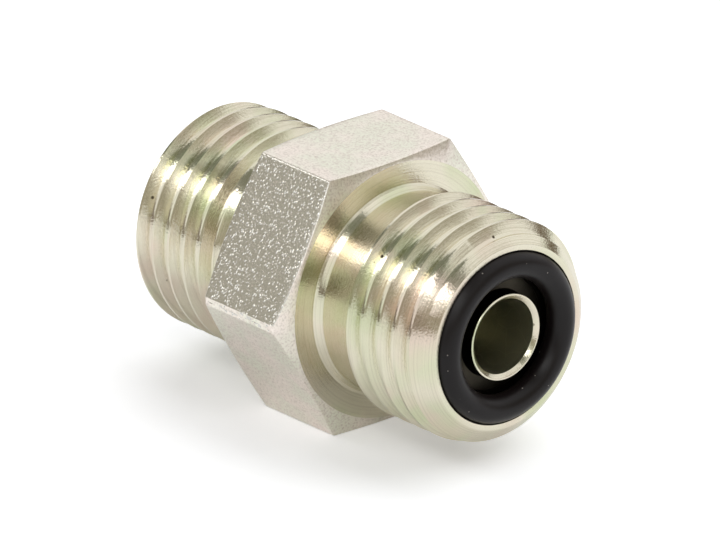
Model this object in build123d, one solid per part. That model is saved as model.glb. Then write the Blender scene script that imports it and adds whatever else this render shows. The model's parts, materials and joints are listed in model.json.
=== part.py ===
from build123d import *
from math import cos, radians, tan
import os

# Straight adapter fitting for hydraulic lines: one steel body with a hexagon in the
# middle and the same male end on both sides. Each end has an outside thread, a flat
# sealing face with a groove, and a rubber O-ring that sits in the groove.
#
# Frame: +X along the bore, towards the front end. The fitting lies on a flat of the
# hexagon, so one flat points down and another up (+Z). The origin is on the axis, in
# the middle of the hexagon. All sizes are in millimetres.
#
# The threads are plain cylinders here, at their outside diameter.

# Overall
overall_length = 27.1            # sealing face to sealing face
bore_diameter = 4.75

# Hexagon
hex_across_flats = 16.8
hex_length = 7.0
hex_face_diameter = 16.3         # flat turned circle on each side of the hexagon
hex_chamfer_angle = 15.0         # degrees, the cone that takes the corners off
hex_corner_round = 0.25
parting_land_width = 0.5         # flat left where the forging flash was trimmed

# Male ends
thread_diameter = 14.15          # 9/16 in thread, as cut, 18 threads to the inch
neck_diameter = 12.66            # relief between the hexagon and the thread
neck_length = 3.1                # hexagon to the first full thread
neck_root_chamfer = 0.4          # slope from the hexagon's face down to the neck
neck_cone_angle = 60.0           # degrees, the slope from the neck up to the thread
end_chamfer_length = 1.05

# Sealing face
groove_diameter = 11.0           # outside wall of the O-ring groove
groove_depth = 1.2
seal_land_width = 0.38           # flat ring outside the groove
lip_wall = 0.37                  # thin wall left between the groove and the bore
lip_setback = 0.1                # the lip stands this much behind the sealing face
bore_chamfer_width = 0.25
bore_chamfer_depth = 0.2

# O-ring
ring_section = 1.78
ring_clearance = 0.02            # to the wall and the floor of the groove

# Places that follow from the sizes above
bore_r = bore_diameter / 2
thread_r = thread_diameter / 2
neck_r = neck_diameter / 2
groove_r = groove_diameter / 2
lip_r = bore_r + lip_wall
shoulder_x = hex_length / 2
thread_start_x = shoulder_x + neck_length
face_x = overall_length / 2
groove_floor_x = face_x - groove_depth
lip_x = face_x - lip_setback


def turned_end():
    """The front half of the turned form: core, neck, thread blank, groove and bore."""
    neck_cone_length = (thread_r - neck_r) / tan(radians(neck_cone_angle))
    core_r = neck_r + 2 * neck_root_chamfer
    outline = [
        (0, bore_r),
        (0, core_r),
        (shoulder_x, core_r),
        (shoulder_x, neck_r + neck_root_chamfer),
        (shoulder_x + neck_root_chamfer, neck_r),
        (thread_start_x - neck_cone_length, neck_r),
        (thread_start_x, thread_r),
        (face_x - end_chamfer_length, thread_r),
        (face_x, groove_r + seal_land_width),
        (face_x, groove_r),
        (groove_floor_x, groove_r),
        (groove_floor_x, lip_r),
        (lip_x, lip_r),
        (lip_x, bore_r + bore_chamfer_width),
        (lip_x - bore_chamfer_depth, bore_r),
    ]
    profile = make_face(Polyline(*outline, close=True))
    return revolve(profile, axis=Axis.X)


def hexagon():
    """The wrench hexagon, with rounded corners, two parting lands and end chamfers."""
    corner_r = hex_across_flats / 2 / cos(radians(30))
    land_y = corner_r - parting_land_width / 2 / tan(radians(60))
    section = RegularPolygon(corner_r, 6)
    section = fillet(section.vertices(), hex_corner_round)
    section &= Rectangle(2 * land_y, 2 * corner_r)
    section -= Circle(bore_r)
    prism = extrude(Plane.YZ * section, hex_length / 2, both=True)

    face_r = hex_face_diameter / 2
    chamfer_depth = (corner_r - face_r) * tan(radians(hex_chamfer_angle))
    blank = Polyline(
        (-shoulder_x, 0),
        (-shoulder_x, face_r),
        (-shoulder_x + chamfer_depth, corner_r),
        (shoulder_x - chamfer_depth, corner_r),
        (shoulder_x, face_r),
        (shoulder_x, 0),
        close=True,
    )
    return prism & revolve(make_face(blank), axis=Axis.X)


def body():
    """The one-piece metal body."""
    front = turned_end()
    rear = mirror(front, about=Plane.YZ)
    return front + rear + hexagon()


def o_ring(side):
    """An O-ring in the groove of one end: side is +1 at the front, -1 at the rear."""
    section_r = ring_section / 2
    centre_r = groove_r - ring_clearance - section_r
    centre_x = groove_floor_x + ring_clearance + section_r
    section = Pos(side * centre_x, centre_r) * Circle(section_r)
    return revolve(section, axis=Axis.X)


os.makedirs("parts", exist_ok=True)
export_step(body(), "parts/body.step")
for name, side in (("front_o_ring", 1), ("rear_o_ring", -1)):
    export_step(o_ring(side), f"parts/{name}.step")
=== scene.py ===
# %% [markdown]
# # A straight adapter fitting, dressed over its CAD frame
# The fitting is one piece of zinc plated steel with an O-ring in each end. The CAD model gives
# the true sizes, with plain cylinders where the threads are. Here the body gets its real
# thread, its small edge rounds and its finishes, and a photo studio of cards and soft lamps.
#
# The frame is loaded first, and the bottom of its box later sets the floor's height.

# %% Load the imported model
import json
from math import atan, ceil, cos, pi, radians, sin, sqrt, tan

import bmesh
import bpy
import numpy as np
from mathutils import Matrix, Vector

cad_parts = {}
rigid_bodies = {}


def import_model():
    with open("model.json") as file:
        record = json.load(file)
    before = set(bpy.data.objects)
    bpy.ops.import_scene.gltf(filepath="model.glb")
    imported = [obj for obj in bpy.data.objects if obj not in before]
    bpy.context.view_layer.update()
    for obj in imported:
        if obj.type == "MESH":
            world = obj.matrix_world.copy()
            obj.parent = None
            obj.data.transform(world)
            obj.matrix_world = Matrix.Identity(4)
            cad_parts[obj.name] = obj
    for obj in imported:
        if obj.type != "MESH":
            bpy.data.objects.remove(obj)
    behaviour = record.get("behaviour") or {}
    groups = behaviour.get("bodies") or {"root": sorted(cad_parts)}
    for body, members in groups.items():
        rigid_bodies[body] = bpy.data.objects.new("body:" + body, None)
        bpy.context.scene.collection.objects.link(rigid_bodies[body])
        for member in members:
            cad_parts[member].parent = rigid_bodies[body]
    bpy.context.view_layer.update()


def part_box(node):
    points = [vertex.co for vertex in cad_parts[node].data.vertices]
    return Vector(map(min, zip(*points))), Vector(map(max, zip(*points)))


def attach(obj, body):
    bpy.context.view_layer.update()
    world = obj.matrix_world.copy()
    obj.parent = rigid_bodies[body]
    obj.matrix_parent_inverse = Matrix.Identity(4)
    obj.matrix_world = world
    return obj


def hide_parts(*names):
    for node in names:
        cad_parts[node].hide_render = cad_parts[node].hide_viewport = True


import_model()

MM = 0.001

# %% [markdown]
# ## The camera
# A product photo like this is taken with a long lens from well back, so parallel edges stay
# almost parallel. A camera could be placed by eye, but a metal part shows its surroundings, and
# its highlights only fall in the right places if the direction is right to a degree. So the
# direction is written as azimuth and elevation, and the place follows from the distance.

# %% Place the camera
CAMERA_AZIMUTH = 48.888
CAMERA_ELEVATION = 23.449
CAMERA_ROLL = -0.778
CAMERA_DISTANCE = 1400 * MM
# how far the middle of the picture is from the part's origin, to the right and up
CAMERA_OFFSET = (-0.125 * MM, 0.227 * MM)
PIXELS_PER_MM = 16.516
IMAGE_WIDTH = 720
SENSOR_WIDTH = 36

azimuth = radians(CAMERA_AZIMUTH)
elevation = radians(CAMERA_ELEVATION)
roll = radians(CAMERA_ROLL)
to_camera = Vector((sin(azimuth) * cos(elevation), -cos(azimuth) * cos(elevation), sin(elevation)))
level_right = Vector((0, 0, 1)).cross(to_camera).normalized()
level_up = to_camera.cross(level_right)
camera_right = cos(roll) * level_right + sin(roll) * level_up
camera_up = -sin(roll) * level_right + cos(roll) * level_up

camera_data = bpy.data.cameras.new("camera")
camera_data.sensor_width = SENSOR_WIDTH
camera_data.lens = PIXELS_PER_MM / MM * CAMERA_DISTANCE * SENSOR_WIDTH / IMAGE_WIDTH
camera_data.clip_end = 100
camera = bpy.data.objects.new("camera", camera_data)
bpy.context.collection.objects.link(camera)
camera.matrix_world = Matrix((camera_right, camera_up, to_camera)).transposed().to_4x4()
camera.location = (
    to_camera * CAMERA_DISTANCE
    - camera_right * CAMERA_OFFSET[0]
    - camera_up * CAMERA_OFFSET[1]
)
bpy.context.scene.camera = camera
print("lens in mm:", round(camera_data.lens, 1))

# %% [markdown]
# ## The turned body
# On the real part a forged blank is turned to shape on a lathe, and the threads are cut last.
# The same order works here. Every turned surface is a profile carried round the axis, and the
# hexagon is a profile too, if its outer radius changes with the angle. So one grid of points,
# angle by profile step, makes the whole blank, and its quads are clean by construction.
#
# Edges on a machined part are never perfectly sharp. Each corner of the profile has a small
# round, because that is what catches the light as a thin bright line.

# %% Round the corners of a profile
def rounded(corners, steps=3):
    """Points along a line of corners (x, r, radius), with each corner rounded."""
    places = np.array([corner[:2] for corner in corners])
    points = []
    for i, (x, r, radius) in enumerate(corners):
        corner = places[i]
        if radius == 0:
            points.append(corner)
            continue
        back = places[i - 1] - corner
        ahead = places[(i + 1) % len(places)] - corner
        back = back / np.linalg.norm(back)
        ahead = ahead / np.linalg.norm(ahead)
        half_angle = 0.5 * np.arccos(np.clip(back @ ahead, -1, 1))
        middle = (back + ahead) / np.linalg.norm(back + ahead)
        centre = corner + middle * radius / np.sin(half_angle)
        first = corner + back * radius / np.tan(half_angle) - centre
        last = corner + ahead * radius / np.tan(half_angle) - centre
        sweep = pi - 2 * half_angle
        for k in range(steps + 1):
            t = k / steps
            arm = np.sin((1 - t) * sweep) * first + np.sin(t * sweep) * last
            points.append(centre + arm / np.sin(sweep))
    return points


square_corner = [(0, 0, 0), (1, 0, 0.2), (1, 1, 0)]
print("points on a line with one rounded corner:", len(rounded(square_corner)))

# %% [markdown]
# ## The wrench hexagon
# The hexagon comes from the forging dies, so its corners are slightly round, and two opposite
# corners lie on the dies' parting line, where the flash is trimmed off and leaves a narrow flat
# land. A six-sided prism could be modelled and joined to the turned ends. A radius that depends
# on the angle fits the same grid as the ends, and needs no joint.

# %% The hexagon's radius at each angle
ACROSS_FLATS = 16.8
CORNER_ROUND = 0.25
LAND_WIDTH = 0.5
LAND_REACH = radians(10)
apothem = ACROSS_FLATS / 2
corner_r = apothem / cos(radians(30))
land_r = corner_r - LAND_WIDTH / 2 / tan(radians(60))
round_centre_r = (apothem - CORNER_ROUND) / cos(radians(30))
round_reach = atan(CORNER_ROUND / 2 / (round_centre_r + CORNER_ROUND * cos(radians(30))))


def angle_from_corner(angle):
    """How far an angle is from the nearest corner, with corners at 0, 60, 120... degrees."""
    return abs((angle + radians(30)) % radians(60) - radians(30))


def hexagon_radius(angle):
    """Distance from the axis to the hexagon at an angle from +Y towards +Z."""
    from_corner = angle_from_corner(angle)
    if from_corner < round_reach:
        across = round_centre_r * sin(from_corner)
        radius = round_centre_r * cos(from_corner) + sqrt(CORNER_ROUND**2 - across**2)
    else:
        radius = apothem / cos(radians(30) - from_corner)
    if min(angle % pi, pi - angle % pi) < LAND_REACH:
        radius = min(radius, land_r / cos(from_corner))
    return radius


print("hexagon corner and parting land radius:", round(corner_r, 3), round(land_r, 3))

# %% [markdown]
# ## The profile of one end
# From the hexagon outwards the real end has a flat turned face, a relief neck where the thread
# tool runs out, the thread's outside, a chamfered nose, a narrow sealing face, the O-ring's
# groove, and a thin lip round the bore. A lathe drawing gives these as pairs of place and
# radius. They are kept in that form, each with the round of its edge, and the rear end is the
# same list with its sign changed.

# %% The profile from the hexagon to the bore
HEX_LENGTH = 7.0
FACE_R = 8.15
CHAMFER_ANGLE = 15.0
ROOT_TOP_R = 6.71
ROOT_BEND = (3.61, 6.56)
ROOT_END_X = 3.98
NECK_R = 6.33
THREAD_R = 7.075
THREAD_START = 6.6
FACE_X = 13.55
CHAMFER_X = 12.5
LAND_OUTER_R = 5.88
GROOVE_R = 5.5
GROOVE_X = 12.35
# the photo has a thin bright line in the dark groove, taken as a low step in its floor
STEP_OUTER_R = 3.72
STEP_INNER_R = 3.66
STEP_HEIGHT = 0.06
LIP_X = 13.45
LIP_R = 2.745
BORE_R = 2.375
BORE_CHAMFER_WIDTH = 0.25
BORE_CHAMFER_DEPTH = 0.2
BORE_INNER_X = 6.0

shoulder_x = HEX_LENGTH / 2
neck_end = THREAD_START - (THREAD_R - NECK_R) / tan(radians(60))


def half_profile(angle):
    """The front half of the profile at an angle, in mm: corners (x, r, round)."""
    outer_r = hexagon_radius(angle)
    edge_x = shoulder_x - (outer_r - FACE_R) * tan(radians(CHAMFER_ANGLE))
    return [
        (edge_x, outer_r, 0.10),
        (shoulder_x, FACE_R, 0.05),
        (shoulder_x, ROOT_TOP_R, 0.03),
        (*ROOT_BEND, 0.05),
        (ROOT_END_X, NECK_R, 0.25),
        (neck_end, NECK_R, 0.12),
        (THREAD_START, THREAD_R, 0.04),
        (CHAMFER_X, THREAD_R, 0.06),
        (FACE_X, LAND_OUTER_R, 0.05),
        (FACE_X, GROOVE_R, 0.05),
        (GROOVE_X, GROOVE_R, 0.12),
        (GROOVE_X, STEP_OUTER_R, 0.0),
        (GROOVE_X + STEP_HEIGHT, STEP_INNER_R, 0.0),
        (GROOVE_X + STEP_HEIGHT, LIP_R, 0.08),
        (LIP_X, LIP_R, 0.05),
        (LIP_X, BORE_R + BORE_CHAMFER_WIDTH, 0.03),
        (LIP_X - BORE_CHAMFER_DEPTH, BORE_R, 0.05),
        (BORE_INNER_X, BORE_R, 0.0),
    ]


# the forged skin between the hexagon's edges gets its own points, to be uneven in
FORGED_X = 2.9
FORGED_STEPS = 40


def body_profile(angle):
    """The closed profile of both halves at an angle."""
    front = half_profile(angle)
    rear = [(-x, r, radius) for x, r, radius in reversed(front)]
    outer_r = hexagon_radius(angle)
    along = [(x, outer_r, 0.0) for x in np.linspace(-FORGED_X, FORGED_X, FORGED_STEPS)]
    return rounded(front + rear + along)


print("points in a profile:", len(body_profile(0.0)))


# %% Turn a grid of points into a mesh
def grid_mesh(name, points, closed_round=True):
    """A mesh of quads over a grid of points that closes on itself across the profile."""
    rounds, steps = points.shape[:2]
    index = np.arange(rounds * steps).reshape(rounds, steps)
    here = index if closed_round else index[:-1]
    following = np.roll(index, -1, axis=0)[: len(here)]
    quads = np.stack(
        [here, following, np.roll(following, -1, axis=1), np.roll(here, -1, axis=1)], axis=-1
    )
    faces = quads.reshape(-1, 4).tolist()
    if not closed_round:
        faces += [index[0].tolist(), index[-1][::-1].tolist()]
    mesh = bpy.data.meshes.new(name)
    mesh.from_pydata((points.reshape(-1, 3) * MM).tolist(), [], faces)
    return mesh


def round_axis(profile, angle):
    """Points of a profile (x, r) at an angle from +Y towards +Z."""
    profile = np.asarray(profile)
    return np.column_stack(
        [profile[:, 0], profile[:, 1] * cos(angle), profile[:, 1] * sin(angle)]
    )


# %% Carry the profile round the axis
ROUND_STEPS = 288
# the angles next to a corner, in degrees, are closer together, to draw its round and the land
NEAR_CORNER = (-1.6, -1.5, -1.2, -0.74, -0.5, -0.25, 0, 0.25, 0.5, 0.74, 1.2, 1.5, 1.6)
CORNER_REACH = radians(1.7)
near_corner = np.radians(NEAR_CORNER)
angles = [2 * pi * k / ROUND_STEPS for k in range(ROUND_STEPS)]
angles = [a for a in angles if angle_from_corner(a) > CORNER_REACH]
angles += [(radians(60 * k) + a) % (2 * pi) for k in range(6) for a in near_corner]
angles.sort()
blank_points = np.array([round_axis(body_profile(a), a) for a in angles])
print("angles and points at each:", blank_points.shape[:2])

# %% [markdown]
# ## The forged skin
# A forged flat is never quite flat, and the trimmed parting land is rough. Bump in a material
# would show this inside the faces, but the hexagon's edges would stay ruler straight. So the
# points themselves move in and out a little, by a sum of waves in random directions, and most
# of all at the two parting lands. The random draws have a fixed seed.

# %% Make the hexagon slightly uneven
RELIEF_SEED = 18
RELIEF_WAVES = 14
# the shortest and longest wave, and the most that a land and a flat may be off, all in mm
WAVE_LENGTHS = (0.35, 1.1)
LAND_RELIEF = 0.05
FLAT_RELIEF = 0.012
# places round the axis are measured along a circle of this radius
ARC_R = 9
# a land's roughness has faded to a flat's where the sine of the angle from it reaches this
LAND_SINE = 0.06
# what lies further out than this is forged: the turned end faces stop at FACE_R
FORGED_INNER_R = 8.3


def forged_relief(points):
    """Moves the hexagon's points in and out a little, and returns the largest move in mm."""
    waves = np.random.default_rng(RELIEF_SEED)
    x = points[..., 0]
    r = np.hypot(points[..., 1], points[..., 2])
    arc = np.arctan2(points[..., 2], points[..., 1]) * ARC_R
    relief = np.zeros_like(x)
    for wave in range(RELIEF_WAVES):
        length = waves.uniform(*WAVE_LENGTHS)
        turn = waves.uniform(0, pi)
        phase = waves.uniform(0, 2 * pi)
        along_wave = x * cos(turn) + arc * sin(turn)
        relief += np.sin(2 * pi * along_wave / length + phase) / RELIEF_WAVES
    from_land = np.minimum(abs(np.sin(arc / ARC_R)), LAND_SINE) / LAND_SINE
    height = LAND_RELIEF - (LAND_RELIEF - FLAT_RELIEF) * from_land
    on_hexagon = (abs(x) < FORGED_X + 0.01) & (r > FORGED_INNER_R)
    scale = 1 + np.where(on_hexagon, relief * height / np.maximum(r, 1), 0)
    points[..., 1] *= scale
    points[..., 2] *= scale
    return abs(relief * height)[on_hexagon].max()


print("largest unevenness in mm:", round(forged_relief(blank_points), 3))
blank_mesh = grid_mesh("blank", blank_points)
print("blank quads:", len(blank_mesh.polygons))

# %% [markdown]
# ## The thread
# The real thread is a 9/16 inch fine thread: 18 turns to the inch, a 60 degree V with a rounded
# root, cut by a single tool that moves one pitch for each turn of the lathe. It could be faked
# with bump or with plain rings, but the crest lines climb as they go round, and they meet the
# chamfer at the nose at a slant. So the tool's path is modelled: a V section swept along a
# helix, and a Boolean takes it out of the blank as the tool would.

# %% The thread tool's section
PITCH = 25.4 / 18
CREST_FLAT = 0.18
ROOT_R = 6.345
TOOL_TOP_R = 7.19


def tool_section():
    """The V tool around its own middle: corners (x, r, round)."""
    half_top = (PITCH - CREST_FLAT) / 2 + (TOOL_TOP_R - THREAD_R) * tan(radians(30))
    tip_r = TOOL_TOP_R - half_top / tan(radians(30))
    root_round = ROOT_R - tip_r
    corners = [(-half_top, TOOL_TOP_R, 0), (0, tip_r, root_round), (half_top, TOOL_TOP_R, 0)]
    return rounded(corners, steps=7)


print("thread depth in mm:", round(THREAD_R - ROOT_R, 3))

# %% Sweep the thread tool along its helix
TOOL_STEPS = 240
TOOL_INNER_X = 5.45
TOOL_OUTER_X = 14.3
# where a crest crosses the angle of 150 degrees, measured on the photographed part
CREST_ANGLE = radians(150)
FRONT_CREST_X = 6.93
REAR_CREST_X = -12.37


def thread_tool(name, crest_x, first_x, last_x):
    """The tool's path from first_x to last_x, with the crests where they cross crest_x."""
    groove_x = crest_x + PITCH / 2
    first_angle = CREST_ANGLE + (first_x - groove_x) / PITCH * 2 * pi
    last_angle = CREST_ANGLE + (last_x - groove_x) / PITCH * 2 * pi
    count = ceil((last_angle - first_angle) / (2 * pi) * TOOL_STEPS)
    section = np.array(tool_section())
    sections = []
    for angle in np.linspace(first_angle, last_angle, count):
        middle_x = groove_x + (angle - CREST_ANGLE) / (2 * pi) * PITCH
        sections.append(round_axis(section + [middle_x, 0], angle))
    return grid_mesh(name, np.array(sections), closed_round=False)


tools = [
    thread_tool("front_tool", FRONT_CREST_X, TOOL_INNER_X, TOOL_OUTER_X),
    thread_tool("rear_tool", REAR_CREST_X, -TOOL_OUTER_X, -TOOL_INNER_X),
]
print("turns in a tool path:", round((TOOL_OUTER_X - TOOL_INNER_X) / PITCH, 2))


# %% Make a closed object from a mesh
def solid(name, mesh):
    """An object with its faces turned outwards."""
    shape = bmesh.new()
    shape.from_mesh(mesh)
    bmesh.ops.recalc_face_normals(shape, faces=shape.faces)
    shape.to_mesh(mesh)
    shape.free()
    result = bpy.data.objects.new(name, mesh)
    bpy.context.collection.objects.link(result)
    return result


# %% Cut the threads
SHARP_EDGE = radians(25)

body = solid("fitting_body", blank_mesh)
cutters = [solid(mesh.name, mesh) for mesh in tools]
for cutter in cutters:
    cut = body.modifiers.new("thread", "BOOLEAN")
    cut.object = cutter
    cut.operation = "DIFFERENCE"
    cut.solver = "MANIFOLD"
evaluated = body.evaluated_get(bpy.context.evaluated_depsgraph_get())
body_mesh = bpy.data.meshes.new_from_object(evaluated)
body_mesh.name = "fitting_body"
body.modifiers.clear()
body.data = body_mesh
for cutter in cutters:
    bpy.data.objects.remove(cutter)
body_mesh.shade_smooth()
body_mesh.set_sharp_from_angle(angle=SHARP_EDGE)
print("body faces:", len(body_mesh.polygons))

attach(body, "root")
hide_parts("body")

# %% [markdown]
# ## The O-rings
# Each end has a moulded nitrile ring, 1.78 mm thick, that stands a little above the metal face
# so that it is squeezed when the joint is made up. A bare torus would do for the form. The real
# ring also keeps a faint line where the two halves of its mould met, inside and outside, and it
# is never perfectly even, so the section gets both.

# %% Mould the O-rings
RING_R = 4.59
RING_X = 13.26
SECTION_R = 0.89
MOULD_LINE = 0.012
MOULD_LINE_WIDTH = 0.06
RING_STEPS = 192
SECTION_STEPS = 48
# a ring's slow unevenness: height in mm, waves in one turn, and the angle they start from
RING_WAVES = ((0.0048, 3, 0.7), (0.0032, 7, 2.1))


def o_ring(name, side):
    """A moulded ring in the groove of one end: side is 1 at the front, -1 at the rear."""
    section_angles = np.linspace(0, 2 * pi, SECTION_STEPS, endpoint=False)
    mould_line = MOULD_LINE * np.exp(-((np.sin(section_angles) / MOULD_LINE_WIDTH) ** 2))
    sections = []
    for angle in np.linspace(0, 2 * pi, RING_STEPS, endpoint=False):
        waviness = sum(height * sin(waves * angle + start) for height, waves, start in RING_WAVES)
        section_r = SECTION_R - MOULD_LINE + waviness + mould_line
        x = side * (RING_X + section_r * np.sin(section_angles))
        r = RING_R + section_r * np.cos(section_angles)
        sections.append(round_axis(np.column_stack([x, r]), angle))
    ring = solid(name, grid_mesh(name, np.array(sections)))
    ring.data.shade_smooth()
    return ring


rings = []
for side, node in ((1, "front_o_ring"), (-1, "rear_o_ring")):
    ring = o_ring(f"moulded_{node}", side)
    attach(ring, "root")
    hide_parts(node)
    rings.append(ring)
print("ring faces:", len(rings[0].data.polygons))

# %% [markdown]
# ## Materials
# Each finish is a small tree of nodes. One function adds a node with its settings and its
# links, and another turns an sRGB colour, as it is picked from a screen, into the linear values
# that the render works in. Pattern sizes are written in real millimetres.

# %% Helpers for materials
def linear(hex_colour):
    """A colour such as "#d8d2bf" as linear red, green, blue and alpha."""
    channels = [int(hex_colour[k : k + 2], 16) / 255 for k in (1, 3, 5)]
    return [c / 12.92 if c <= 0.04045 else ((c + 0.055) / 1.055) ** 2.4 for c in channels] + [1.0]


def add_node(tree, kind, settings=None, links=None):
    """Adds a node. Settings are its options or unlinked inputs, links feed its inputs."""
    node = tree.nodes.new("ShaderNode" + kind)
    for name, value in (settings or {}).items():
        if isinstance(name, str) and hasattr(node, name):
            setattr(node, name, value)
        else:
            node.inputs[name].default_value = value
    for name, source in (links or {}).items():
        tree.links.new(source, node.inputs[name])
    return node


def new_material(name):
    """An empty node material."""
    material = bpy.data.materials.new(name)
    material.use_nodes = True
    material.node_tree.nodes.clear()
    return material


print("middle grey in linear values:", round(linear("#808080")[0], 3))

# %% [markdown]
# ## Zinc plate on turned steel
# The ends, the threads and the hexagon's end faces are turned, then plated with zinc and
# passivated. The tool leaves fine lines that run round the axis, so highlights are pulled out
# across the lines, and the thin passivated film gives faint green and pink stains.
#
# A plain glossy metal with a painted line texture would show lines that never catch the light.
# Here the shader is anisotropic with its tangent round the X axis, a one-dimensional noise along
# the profile makes the lines, and two wide noises mix in the stains. The ridges between the lines
# are also painted a little darker, a painted shade that stands in for the shade of the fine
# grooves. The colours are pale and warm, and were brought near the photo's by comparing spots of
# the two pictures.
#
# A lathe's lines are often under 0.1 mm apart, too fine to show in the picture, so they are
# drawn 0.14 mm apart. The grain is 0.15 mm, far coarser than the plate's crystals.

# %% Lines of the turning tool
LINE_SPACING = 0.14 * MM


def turning_lines(tree, place):
    """A noise along the profile, whose lines run round the axis."""
    # it changes along a cylinder, across a flat face and down a slope
    axes = add_node(tree, "SeparateXYZ", links={0: place})
    along = add_node(tree, "Math", {"operation": "ABSOLUTE"}, {0: axes.outputs["X"]})
    across = add_node(tree, "VectorMath", {"operation": "MULTIPLY", 1: (0, 1, 1)}, {0: place})
    radius = add_node(tree, "VectorMath", {"operation": "LENGTH"}, {0: across.outputs[0]})
    feed = add_node(
        tree, "Math", {"operation": "SUBTRACT"}, {0: along.outputs[0], 1: radius.outputs["Value"]}
    )
    return add_node(
        tree,
        "TexNoise",
        {"noise_dimensions": "1D", "Scale": 1 / LINE_SPACING, "Detail": 3.0, "Roughness": 0.6},
        {"W": feed.outputs[0]},
    )


print("pixels from line to line:", round(LINE_SPACING / MM * PIXELS_PER_MM, 1))


# %% Stains in the passivated film
GREEN_STAIN = 5 * MM
PINK_STAIN = 4 * MM


def stained_plate(tree, place):
    """The plate's colour, with wide stains of pale green and pink."""
    green = add_node(tree, "TexNoise", {"Scale": 1 / GREEN_STAIN, "Detail": 2.0}, {"Vector": place})
    green_share = add_node(
        tree, "MapRange", {"From Min": 0.45, "From Max": 0.65}, {"Value": green.outputs[0]}
    )
    moved = add_node(tree, "VectorMath", {"operation": "ADD", 1: (0.05, 0.02, 0.03)}, {0: place})
    pink = add_node(
        tree, "TexNoise", {"Scale": 1 / PINK_STAIN, "Detail": 2.0}, {"Vector": moved.outputs[0]}
    )
    pink_share = add_node(
        tree, "MapRange", {"From Min": 0.5, "From Max": 0.7}, {"Value": pink.outputs[0]}
    )
    pale_green = add_node(
        tree,
        "Mix",
        {"data_type": "RGBA", 6: linear("#e5dfca"), 7: linear("#d2d6b4")},
        {0: green_share.outputs[0]},
    )
    return add_node(
        tree,
        "Mix",
        {"data_type": "RGBA", 7: linear("#e3d3c2")},
        {0: pink_share.outputs[0], 6: pale_green.outputs[2]},
    )


print("stains in mm:", round(GREEN_STAIN / MM, 1), round(PINK_STAIN / MM, 1))


# %% Dark pits in the plate
PIT_CELL = 2.3 * MM
PIT_REACH = 0.055


def pitted_plate(tree, place):
    """The stained plate with a dark pit wherever it passes through the middle of a cell."""
    stained = stained_plate(tree, place)
    cells = add_node(tree, "TexVoronoi", {"Scale": 1 / PIT_CELL}, {"Vector": place})
    pit = add_node(
        tree,
        "MapRange",
        {"From Min": 0.03, "From Max": PIT_REACH, "To Min": 1.0, "To Max": 0.0},
        {"Value": cells.outputs[0]},
    )
    return add_node(
        tree,
        "Mix",
        {"data_type": "RGBA", 7: linear("#4c4336")},
        {0: pit.outputs[0], 6: stained.outputs[2]},
    )


print("widest pit in mm:", round(2 * PIT_REACH * PIT_CELL / MM, 2))


# %% Zinc plate on turned steel
def turned_zinc():
    material = new_material("zinc_plate_on_turned_steel")
    tree = material.node_tree
    place = add_node(tree, "TexCoord").outputs["Object"]
    lines = turning_lines(tree, place)
    pitted = pitted_plate(tree, place)
    grain = add_node(tree, "TexNoise", {"Scale": 1 / (0.15 * MM), "Detail": 2.0}, {"Vector": place})

    # painted shade: the ridges between the lines are painted a little darker, so that they show in
    # even light too
    line_shade_share = add_node(
        tree,
        "MapRange",
        {"From Min": 0.48, "From Max": 0.62, "To Min": 0.0, "To Max": 0.18},
        {"Value": lines.outputs[0]},
    )
    line_shaded_plate = add_node(
        tree,
        "Mix",
        {"data_type": "RGBA", 7: linear("#a89c86")},
        {0: line_shade_share.outputs[0], 6: pitted.outputs[2]},
    )
    line_bump = add_node(
        tree, "Bump", {"Strength": 1.0, "Distance": 0.0045 * MM}, {"Height": lines.outputs[0]}
    )
    grain_bump = add_node(
        tree,
        "Bump",
        {"Strength": 1.0, "Distance": 0.007 * MM},
        {"Height": grain.outputs[0], "Normal": line_bump.outputs["Normal"]},
    )
    shine = add_node(
        tree,
        "MapRange",
        {"From Min": 0.3, "From Max": 0.7, "To Min": 0.16, "To Max": 0.24},
        {"Value": grain.outputs[0]},
    )
    round_bore = add_node(tree, "Tangent", {"direction_type": "RADIAL", "axis": "X"})
    shader = add_node(
        tree,
        "BsdfPrincipled",
        {"Metallic": 1.0, "Anisotropic": 0.75, "Anisotropic Rotation": 0.25},
        {
            "Base Color": line_shaded_plate.outputs[2],
            "Roughness": shine.outputs[0],
            "Normal": grain_bump.outputs["Normal"],
            "Tangent": round_bore.outputs[0],
        },
    )
    add_node(tree, "OutputMaterial", links={"Surface": shader.outputs[0]})
    return material


turned_plate = turned_zinc()
print(turned_plate.name, "has nodes:", len(turned_plate.node_tree.nodes))
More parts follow.
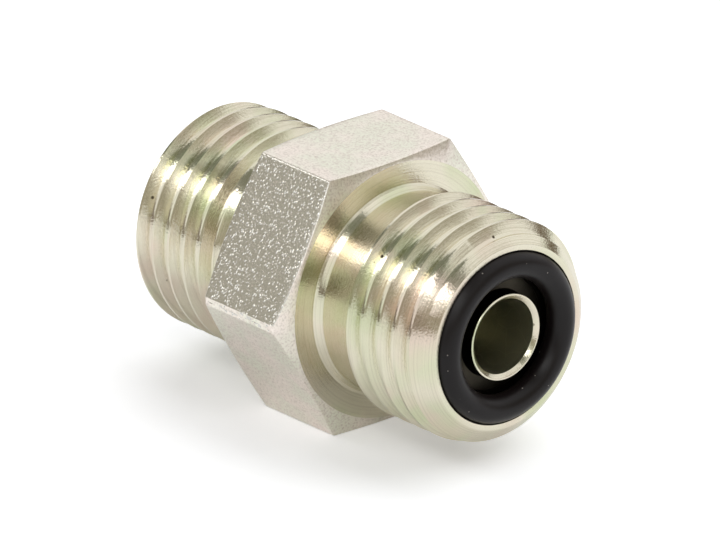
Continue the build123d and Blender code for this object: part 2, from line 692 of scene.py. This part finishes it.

# %% [markdown]
# ## Zinc plate with painted glints on the upper side flats
# The upper side flats look sandy: a dense field of small bright grains on a darker grey. They are
# the same forged, plated skin as the other flats, and the sand is how the light falls on them:
# each small dent turns the plate a little, so that some of them flash and the others stay dull.
# This material is a lit copy of that skin, with the flashes painted in.
#
# A plain noise bump gives soft hills, and a picture of speckles wouldn't move with the light.
# Round cells give grains instead. Each cell draws its own size and stands out as a low bump,
# and its middle is painted brighter: a painted glint. At half their strength the photo's grains
# are 0.12 mm wide, and cells of 0.17 mm give grains of 0.13 mm in the render.

# %% Zinc plate with painted glints on the upper side flats
def lit_flat_zinc_with_painted_glints():
    material = new_material("zinc_plate_with_painted_glints_on_lit_flats")
    tree = material.node_tree
    place = add_node(tree, "TexCoord").outputs["Object"]
    grit = add_node(tree, "TexNoise", {"Scale": 1 / (0.16 * MM), "Detail": 2.0}, {"Vector": place})
    # the cells are bent by a twentieth of a millimetre or so, so that none is quite round
    bent = add_node(
        tree, "Mix", {"data_type": "VECTOR", 0: 0.00005}, {4: place, 5: grit.outputs[1]}
    )
    grains = add_node(
        tree, "TexVoronoi", {"Scale": 1 / (0.17 * MM)}, {"Vector": bent.outputs[1]}
    )
    pick = add_node(tree, "SeparateXYZ", links={0: grains.outputs["Color"]})
    reach = add_node(
        tree,
        "MapRange",
        {"From Min": 0.1, "From Max": 1.0, "To Min": 0.2, "To Max": 0.6},
        {"Value": pick.outputs[0]},
    )
    grain = add_node(
        tree,
        "MapRange",
        {"interpolation_type": "SMOOTHSTEP", "From Min": 0.05, "To Min": 1.0, "To Max": 0.0},
        {"Value": grains.outputs[0], "From Max": reach.outputs[0]},
    )
    # painted glint: the middle of each grain is painted brighter than the darker ground, for the
    # flash of light from a dent
    colour = add_node(
        tree,
        "Mix",
        {"data_type": "RGBA", 6: linear("#d6d3cb"), 7: linear("#f6f4ef")},
        {0: grain.outputs[0]},
    )
    grit_bump = add_node(
        tree, "Bump", {"Strength": 1.0, "Distance": 0.018 * MM}, {"Height": grit.outputs[0]}
    )
    grain_bump = add_node(
        tree,
        "Bump",
        {"Strength": 1.0, "Distance": 0.024 * MM},
        {"Height": grain.outputs[0], "Normal": grit_bump.outputs["Normal"]},
    )
    shader = add_node(
        tree,
        "BsdfPrincipled",
        {"Metallic": 1.0, "Roughness": 0.26},
        {"Base Color": colour.outputs[2], "Normal": grain_bump.outputs["Normal"]},
    )
    add_node(tree, "OutputMaterial", links={"Surface": shader.outputs[0]})
    return material


lit_flat_plate_with_glints = lit_flat_zinc_with_painted_glints()
print(lit_flat_plate_with_glints.name, "has nodes:", len(lit_flat_plate_with_glints.node_tree.nodes))

# %% [markdown]
# ## Zinc plate on the forged skin
# The top, the lower flats and the cones at the hexagon's ends look smoother, like the skin that
# forging dies leave: a soft, almost even sheen with a fine speckle. The passivated film drifts
# between pinkish and greenish white.
#
# The glinting copy with a lower bump would be simpler, but the speckle here is in the colour
# and hardly in the form. So a fine noise mixes in a darker grey, a wide one of 2.5 mm tints the
# film, and the bump is shallow. The fine noise is 0.13 mm, about two pixels of the picture: a
# finer one, as a real skin may have, wouldn't show.

# %% Zinc plate on the forged skin
def forged_zinc():
    material = new_material("zinc_plate_on_forged_skin")
    tree = material.node_tree
    place = add_node(tree, "TexCoord").outputs["Object"]
    skin = add_node(tree, "TexNoise", {"Scale": 1 / (0.25 * MM), "Detail": 3.0}, {"Vector": place})
    film = add_node(tree, "TexNoise", {"Scale": 1 / (2.5 * MM), "Detail": 2.0}, {"Vector": place})
    film_share = add_node(
        tree, "MapRange", {"From Min": 0.4, "From Max": 0.62}, {"Value": film.outputs[0]}
    )
    colour = add_node(
        tree,
        "Mix",
        {"data_type": "RGBA", 6: linear("#f8eee4"), 7: linear("#efeede")},
        {0: film_share.outputs[0]},
    )
    fine = add_node(tree, "TexNoise", {"Scale": 1 / (0.13 * MM), "Detail": 2.0}, {"Vector": place})
    fine_share = add_node(
        tree, "MapRange", {"From Min": 0.45, "From Max": 0.72}, {"Value": fine.outputs[0]}
    )
    grained = add_node(
        tree,
        "Mix",
        {"data_type": "RGBA", 7: linear("#d8cec2")},
        {0: fine_share.outputs[0], 6: colour.outputs[2]},
    )
    bump = add_node(
        tree, "Bump", {"Strength": 1.0, "Distance": 0.018 * MM}, {"Height": skin.outputs[0]}
    )
    shader = add_node(
        tree,
        "BsdfPrincipled",
        {"Metallic": 1.0, "Roughness": 0.3},
        {"Base Color": grained.outputs[2], "Normal": bump.outputs["Normal"]},
    )
    add_node(tree, "OutputMaterial", links={"Surface": shader.outputs[0]})
    return material


forged_plate = forged_zinc()
print(forged_plate.name, "has nodes:", len(forged_plate.node_tree.nodes))

# %% [markdown]
# ## Zinc plate in the drilled bore
# A drill leaves a duller wall than a turning tool, and chips scratch it on their way out. The
# photo shows a dark olive bore with a few faint, thin scratches. It is dark mostly because a
# narrow bore mirrors its own wall.
#
# The scratches could be drawn one by one. The borders of wide, bent cells are thin crooked
# lines too, and cost one node. The cells are 1.6 mm wide, chosen for a few lines.

# %% Zinc plate in the drilled bore
def drilled_zinc():
    material = new_material("zinc_plate_in_drilled_bore")
    tree = material.node_tree
    place = add_node(tree, "TexCoord").outputs["Object"]
    wander = add_node(tree, "TexNoise", {"Scale": 1 / (2 * MM), "Detail": 1.0}, {"Vector": place})
    bent = add_node(
        tree, "Mix", {"data_type": "VECTOR", 0: 0.002}, {4: place, 5: wander.outputs[1]}
    )
    cells = add_node(
        tree,
        "TexVoronoi",
        {"feature": "DISTANCE_TO_EDGE", "Scale": 1 / (1.6 * MM)},
        {"Vector": bent.outputs[1]},
    )
    scratch = add_node(
        tree,
        "MapRange",
        {"From Min": 0.0, "From Max": 0.02, "To Min": 1.0, "To Max": 0.0},
        {"Value": cells.outputs[0]},
    )
    colour = add_node(
        tree,
        "Mix",
        {"data_type": "RGBA", 6: linear("#dad8c2"), 7: linear("#e8e6d0")},
        {0: scratch.outputs[0]},
    )
    shader = add_node(
        tree,
        "BsdfPrincipled",
        {"Metallic": 1.0, "Roughness": 0.3},
        {"Base Color": colour.outputs[2]},
    )
    add_node(tree, "OutputMaterial", links={"Surface": shader.outputs[0]})
    return material


drilled_plate = drilled_zinc()
print(drilled_plate.name, "has nodes:", len(drilled_plate.node_tree.nodes))

# %% [markdown]
# ## Dull plate and painted shade in the O-ring grooves
# Plating is thin and dull at the bottom of a narrow groove, and little light gets there. What the
# eye sees between the ring and the lip is nearly black.
#
# The turned finish could simply go on into the groove, but its bright lines would catch the
# light. So the groove has a duller metal of its own, painted nearly black as painted shade, with
# uneven patches of 0.6 mm.

# %% Dull plate and painted shade in the O-ring grooves
def groove_zinc_with_painted_shade():
    material = new_material("dull_zinc_with_painted_shade_in_groove")
    tree = material.node_tree
    place = add_node(tree, "TexCoord").outputs["Object"]
    film = add_node(tree, "TexNoise", {"Scale": 1 / (0.6 * MM), "Detail": 3.0}, {"Vector": place})
    # painted shade: the groove's metal is painted nearly black, in uneven patches, for the shade
    # behind the ring and the narrow walls
    colour = add_node(
        tree,
        "Mix",
        {"data_type": "RGBA", 6: linear("#2c2822"), 7: linear("#433f36")},
        {0: film.outputs[0]},
    )
    shader = add_node(
        tree,
        "BsdfPrincipled",
        {"Metallic": 1.0, "Roughness": 0.35},
        {"Base Color": colour.outputs[2]},
    )
    add_node(tree, "OutputMaterial", links={"Surface": shader.outputs[0]})
    return material


groove_shade_plate = groove_zinc_with_painted_shade()
print(groove_shade_plate.name, "has nodes:", len(groove_shade_plate.node_tree.nodes))

# %% [markdown]
# ## Moulded nitrile rubber
# An O-ring is nitrile rubber filled with carbon black, moulded in a smooth tool. It is close to
# black, with a soft, weak highlight and a few specks of dust that cling to it.
#
# A plain black plastic would be simpler, but its highlight would be too strong. Rubber's index
# is about 1.52, and its reflection is turned down, because the photo's highlight is weak. A
# speck shows wherever the surface passes through the middle of a cell of 0.7 mm.

# %% Moulded nitrile rubber
def nitrile_rubber():
    material = new_material("moulded_nitrile_rubber")
    tree = material.node_tree
    place = add_node(tree, "TexCoord").outputs["Object"]
    grain = add_node(tree, "TexNoise", {"Scale": 1 / (0.2 * MM), "Detail": 3.0}, {"Vector": place})
    bump = add_node(
        tree, "Bump", {"Strength": 1.0, "Distance": 0.004 * MM}, {"Height": grain.outputs[0]}
    )
    dust = add_node(tree, "TexVoronoi", {"Scale": 1 / (0.7 * MM)}, {"Vector": place})
    speck = add_node(
        tree,
        "MapRange",
        {"From Min": 0.05, "From Max": 0.07, "To Min": 1.0, "To Max": 0.0},
        {"Value": dust.outputs[0]},
    )
    colour = add_node(
        tree,
        "Mix",
        {"data_type": "RGBA", 6: linear("#110c0c"), 7: linear("#8d8780")},
        {0: speck.outputs[0]},
    )
    shader = add_node(
        tree,
        "BsdfPrincipled",
        {"Roughness": 0.36, "IOR": 1.52, "Specular IOR Level": 0.26},
        {"Normal": bump.outputs["Normal"], "Base Color": colour.outputs[2]},
    )
    add_node(tree, "OutputMaterial", links={"Surface": shader.outputs[0]})
    return material


rubber = nitrile_rubber()
print(rubber.name, "has nodes:", len(rubber.node_tree.nodes))

# %% [markdown]
# ## Which finish goes where
# The body is one mesh with five finishes. The real one is one piece of steel that was turned,
# drilled and forged, and two more finishes paint light and shade on it: painted shade in the
# O-ring grooves, and a lit copy with painted glints on the hexagon's upper side flats. It could
# be cut into five objects, but then each border would be a seam. Each face takes its finish from
# its place instead: its radius, its distance from the middle and, on the hexagon, the way it
# faces.

# %% Give the pieces their materials
TURNED, LIT_SIDE_FLAT, DRILLED, IN_GROOVE, FORGED = range(5)

# where the hexagon, the bore and the groove end, in mm, each a little off its surface
HEXAGON_END_X = shoulder_x - 0.02
HEXAGON_INNER_R = 7.5
BORE_OUTER_R = BORE_R + 0.01
GROOVE_BACK_X = GROOVE_X - 0.1
GROOVE_FRONT_X = LIP_X - 0.04
GROOVE_INNER_R = LIP_R - 0.02
GROOVE_OUTER_R = GROOVE_R + 0.02
# how far the normal of an upper side flat points up, and the most it points along the bore;
# these flats get the lit copy with painted glints
SIDE_LEAST_UP = 0.05
SIDE_MOST_UP = 0.8
SIDE_MOST_ALONG = 0.6

body_mesh.materials.clear()
for material in (turned_plate, lit_flat_plate_with_glints, drilled_plate, groove_shade_plate, forged_plate):
    body_mesh.materials.append(material)


def finish_of(face):
    """The number of the finish that a face of the body has."""
    x, y, z = face.center / MM
    r = sqrt(y * y + z * z)
    if abs(x) < HEXAGON_END_X and r > HEXAGON_INNER_R:
        # the upper side flats get the lit copy with painted glints, the rest of the hexagon its
        # forged skin
        turned_up = SIDE_LEAST_UP < face.normal.z < SIDE_MOST_UP
        return LIT_SIDE_FLAT if turned_up and abs(face.normal.x) < SIDE_MOST_ALONG else FORGED
    if r < BORE_OUTER_R:
        return DRILLED
    if GROOVE_BACK_X < abs(x) < GROOVE_FRONT_X and GROOVE_INNER_R < r < GROOVE_OUTER_R:
        return IN_GROOVE
    return TURNED


for face in body_mesh.polygons:
    face.material_index = finish_of(face)
for ring in rings:
    ring.data.materials.append(rubber)
print("finishes on the body:", [material.name for material in body_mesh.materials])

# %% [markdown]
# ## The studio
# Metal has almost no colour of its own: it shows the room. The photographed part lies on white
# under a wide soft light, and it mirrors something darker near the floor's horizon.
#
# The floor is plain white paper. Stronger lamps would bring it to the photo's white, but they
# would burn out the metal. So the paper glows a little where the camera looks at it, and less
# where metal or glass shows it. The part gets no more light by that, and its shadow stays.

# %% Floor
FLOOR_SIZE = 4.0
CAMERA_LIFT = 0.31
REFLECTED_LIFT = 0.09
floor_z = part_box("body")[0].z


def card(name, corners, material):
    """A flat card of one face that belongs to the studio and not to the part."""
    mesh = bpy.data.meshes.new(name)
    mesh.from_pydata(corners, [], [list(range(len(corners)))])
    mesh.materials.append(material)
    result = bpy.data.objects.new(name, mesh)
    bpy.context.collection.objects.link(result)
    return result


def floor_finish():
    """White paper that glows a little to the camera and in reflections."""
    material = new_material("white_paper_sweep")
    tree = material.node_tree
    ray = add_node(tree, "LightPath")
    mirrored = add_node(
        tree,
        "Math",
        {"operation": "MAXIMUM"},
        {0: ray.outputs["Is Glossy Ray"], 1: ray.outputs["Is Transmission Ray"]},
    )
    reflected = add_node(
        tree, "Math", {"operation": "MULTIPLY", 1: REFLECTED_LIFT}, {0: mirrored.outputs[0]}
    )
    lift = add_node(
        tree,
        "Math",
        {"operation": "MULTIPLY_ADD", 1: CAMERA_LIFT},
        {0: ray.outputs["Is Camera Ray"], 2: reflected.outputs[0]},
    )
    paper = add_node(tree, "BsdfDiffuse", {"Color": linear("#f3f4f6")})
    glow = add_node(tree, "Emission", links={"Strength": lift.outputs[0]})
    both = add_node(tree, "AddShader", links={0: paper.outputs[0], 1: glow.outputs[0]})
    add_node(tree, "OutputMaterial", links={"Surface": both.outputs[0]})
    return material


half = FLOOR_SIZE / 2
floor_corners = [(-half, -half), (half, -half), (half, half), (-half, half)]
floor = card("floor", [(x, y, floor_z) for x, y in floor_corners], floor_finish())
print("floor height in mm:", round(floor_z / MM, 2))

# %% [markdown]
# ## The room
# Beyond the floor the picture is pure white. The camera, the metal and anything clear see that
# white, while the light that the room really sheds on the part is much weaker. One background
# for both would either grey the picture or flatten the shadow, so the kind of ray picks one.

# %% World
ROOM_LIGHT = 0.18
world = bpy.data.worlds.new("studio")
bpy.context.scene.world = world
world.use_nodes = True
tree = world.node_tree
tree.nodes.clear()
ray = add_node(tree, "LightPath")
seen = add_node(
    tree,
    "Math",
    {"operation": "MAXIMUM"},
    {0: ray.outputs["Is Camera Ray"], 1: ray.outputs["Is Glossy Ray"]},
)
seen = add_node(
    tree,
    "Math",
    {"operation": "MAXIMUM"},
    {0: seen.outputs[0], 1: ray.outputs["Is Transmission Ray"]},
)
room = add_node(tree, "Background", {"Color": linear("#ffffff"), "Strength": ROOM_LIGHT})
white = add_node(tree, "Background", {"Color": linear("#ffffff"), "Strength": 1.0})
dome = add_node(
    tree, "MixShader", links={0: seen.outputs[0], 1: room.outputs[0], 2: white.outputs[0]}
)
add_node(tree, "OutputWorld", links={"Surface": dome.outputs[0]})
print("room light, where the white background is 1:", ROOM_LIGHT)

# %% [markdown]
# ## Dark walls and a flag
# Without something dark around it, bright metal in a white room has no shape. A photographer
# puts black cards and grey boards beside the part. The wall here is a ring of such boards, high
# where the thread and the neck show a dark band, and low where the photo shows white. A long
# flag overhead darkens the metal just above the bright streak on the threads and the neck.
#
# Black cards that block light could be modelled too, but they would also shade the part and the
# floor. These boards have their colour as their own light, and show only in reflections.

# %% Boards that only the metal sees
WALL_R = 0.9
WALL_STEPS = 72
# the wall's angles from +X towards +Y and its height at each, in degrees seen from the part
WALL_ANGLES = (0, 8, 44, 52, 110, 139, 165, 185, 200, 238, 248, 288, 302, 360)
WALL_TOPS = (16, 34, 34, 9, 9, 13, 17, 27, 29, 29, 7, 7, 18, 16)
BROWN_BOARD, GREY_BOARD = range(2)


def glow_finish(name, colour):
    """A board that shows its colour as its own light."""
    material = new_material(name)
    tree = material.node_tree
    glow = add_node(tree, "Emission", {"Color": linear(colour), "Strength": 1.0})
    add_node(tree, "OutputMaterial", links={"Surface": glow.outputs[0]})
    return material


def reflected_only(board):
    """The board shows in the metal and takes no part in anything else."""
    board.visible_camera = False
    board.visible_diffuse = False
    board.visible_shadow = False


def board_at(wall_angle):
    """Which board stands at an angle: grey off the part's ends, brown elsewhere."""
    off_rear_end = 185 <= wall_angle <= 260
    off_front_end = abs(wall_angle - 180) > 130
    return GREY_BOARD if off_rear_end or off_front_end else BROWN_BOARD


# %% Put up the wall
corners = []
for wall_angle in np.linspace(0, 360, WALL_STEPS, endpoint=False):
    x = WALL_R * cos(radians(wall_angle))
    y = WALL_R * sin(radians(wall_angle))
    top = np.interp(wall_angle, WALL_ANGLES, WALL_TOPS)
    corners.append((x, y, floor_z))
    corners.append((x, y, WALL_R * tan(radians(top))))
wall_mesh = bpy.data.meshes.new("dark_wall")
count = 2 * WALL_STEPS
wall_mesh.from_pydata(
    corners, [], [(k, (k + 2) % count, (k + 3) % count, k + 1) for k in range(0, count, 2)]
)
wall_mesh.materials.append(glow_finish("dark_brown_wall", "#76685a"))
wall_mesh.materials.append(glow_finish("grey_wall", "#aaa595"))
for k, face in enumerate(wall_mesh.polygons):
    face.material_index = board_at(360 * k / WALL_STEPS)
wall = bpy.data.objects.new("dark_wall", wall_mesh)
bpy.context.collection.objects.link(wall)
reflected_only(wall)
print("boards in the wall:", len(wall_mesh.polygons))

# %% Hang the flag
FLAG_ANGLES = (92, 121)
FLAG_HALF_LENGTH = 1.4
FLAG_DISTANCE = 0.75


def long_card(name, angles, half_length, distance, material):
    """A card parallel to the bore, between two angles round it from +Y towards +Z."""
    low, high = angles
    corners = []
    for x, angle in (
        (-half_length, low),
        (half_length, low),
        (half_length, high),
        (-half_length, high),
    ):
        corners.append((x, distance * cos(radians(angle)), distance * sin(radians(angle))))
    result = card(name, corners, material)
    reflected_only(result)
    return result


flag = long_card(
    "dark_flag", FLAG_ANGLES, FLAG_HALF_LENGTH, FLAG_DISTANCE, glow_finish("dark_flag", "#83857a")
)
print("flag:", flag.name, "between", FLAG_ANGLES, "degrees round the bore")

# %% [markdown]
# ## Lamps
# Two soft lamps light the part. A large softbox overhead, a little behind the part, gives the
# soft shadow towards the camera, and a long bar beside it gives the bright streak along the
# threads and the neck. A lamp's power depends on its area, so each lamp's brightness is written
# as it looks, where 1 is white, and turned into watts.
#
# The softbox itself isn't mirrored in the metal. What the metal shows there is the white room,
# and with both the top of the hexagon would burn out.

# %% Hang the lamps
SOFTBOX_X = 0.1
SOFTBOX_ANGLE = 60
SOFTBOX_DISTANCE = 0.7
SOFTBOX_SIZE = (1.5, 0.8)
SOFTBOX_BRIGHTNESS = 1.86
BAR_ANGLE = 129.5
BAR_DISTANCE = 0.75
BAR_SIZE = (2.6, 0.21)
BAR_BRIGHTNESS = 2.2


def soft_lamp(name, x, angle, distance, size, brightness):
    """A soft lamp at an angle round the bore from +Y towards +Z, facing the bore.

    The direction is (x, cos, sin) of the angle, brought to length 1 before the distance.
    """
    data = bpy.data.lights.new(name, "AREA")
    data.shape = "RECTANGLE"
    data.size, data.size_y = size
    data.energy = brightness * pi * size[0] * size[1]
    lamp = bpy.data.objects.new(name, data)
    bpy.context.collection.objects.link(lamp)
    direction = Vector((x, cos(radians(angle)), sin(radians(angle)))).normalized()
    lamp.location = direction * distance
    lamp.rotation_mode = "QUATERNION"
    lamp.rotation_quaternion = Matrix.Rotation(radians(angle - 90), 3, "X").to_quaternion()
    lamp.visible_camera = False
    print(name, "watts:", round(data.energy, 2))
    return lamp


softbox = soft_lamp(
    "overhead_softbox",
    SOFTBOX_X,
    SOFTBOX_ANGLE,
    SOFTBOX_DISTANCE,
    SOFTBOX_SIZE,
    SOFTBOX_BRIGHTNESS,
)
softbox.visible_glossy = False
soft_lamp("long_bar", 0, BAR_ANGLE, BAR_DISTANCE, BAR_SIZE, BAR_BRIGHTNESS)

bpy.context.scene.view_settings.view_transform = "Standard"
